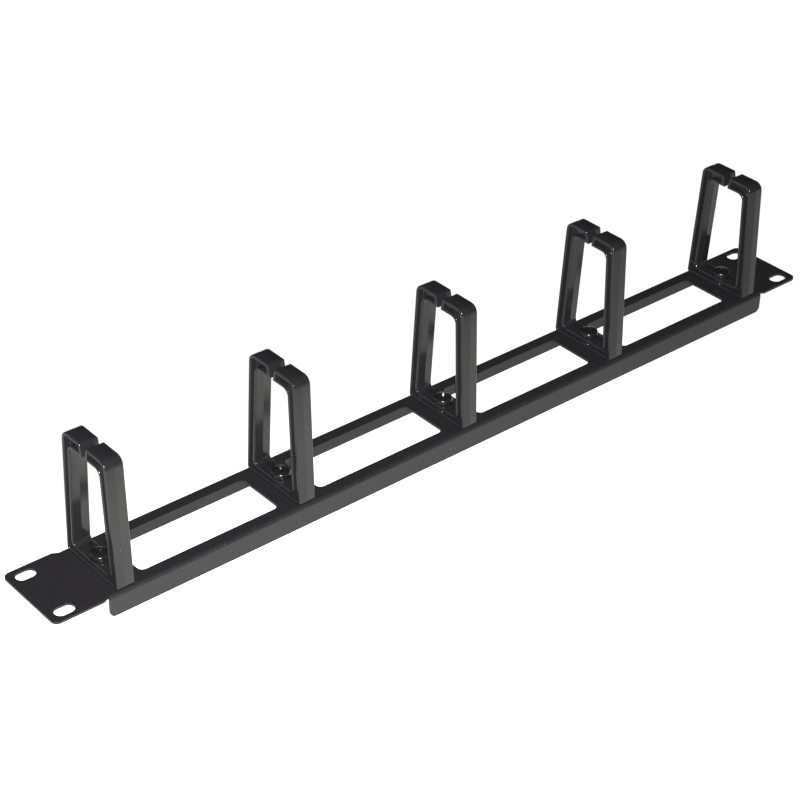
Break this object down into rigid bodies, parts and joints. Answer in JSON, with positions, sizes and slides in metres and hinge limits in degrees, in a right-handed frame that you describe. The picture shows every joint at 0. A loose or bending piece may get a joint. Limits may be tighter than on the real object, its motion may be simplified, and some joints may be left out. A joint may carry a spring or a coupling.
{
  "type": "horizontal cable manager",
  "caption": "Folded steel rack panel, one unit high, with windows and a row of moulded tapered cable rings that open at the top through a narrow notch.",
  "frame": {"origin": "centre of the four rack slots, on the underside of the sheet", "axes": "+X along the panel, +Y across it, +Z out of the rack, the way the rings stand"},
  "size_m": [0.4826, 0.0436, 0.0784],
  "materials": {
    "panel_powder_coat": "fine matt black powder coat",
    "ring_plastic": "glossy black moulded plastic",
    "screw_black": "bright black plated steel",
    "zinc_steel": "bright zinc-plated steel"
  },
  "bodies": {
    "root": {"rack_panel": "panel_powder_coat", "cable_ring_1": "ring_plastic", "ring_screw_1": "screw_black", "ring_washer_1": "zinc_steel", "ring_nut_1": "zinc_steel", "cable_ring_2": "ring_plastic", "ring_screw_2": "screw_black", "ring_washer_2": "zinc_steel", "ring_nut_2": "zinc_steel", "cable_ring_3": "ring_plastic", "ring_screw_3": "screw_black", "ring_washer_3": "zinc_steel", "ring_nut_3": "zinc_steel", "cable_ring_4": "ring_plastic", "ring_screw_4": "screw_black", "ring_washer_4": "zinc_steel", "ring_nut_4": "zinc_steel", "cable_ring_5": "ring_plastic", "ring_screw_5": "screw_black", "ring_washer_5": "zinc_steel", "ring_nut_5": "zinc_steel"}
  },
  "joints": []
}
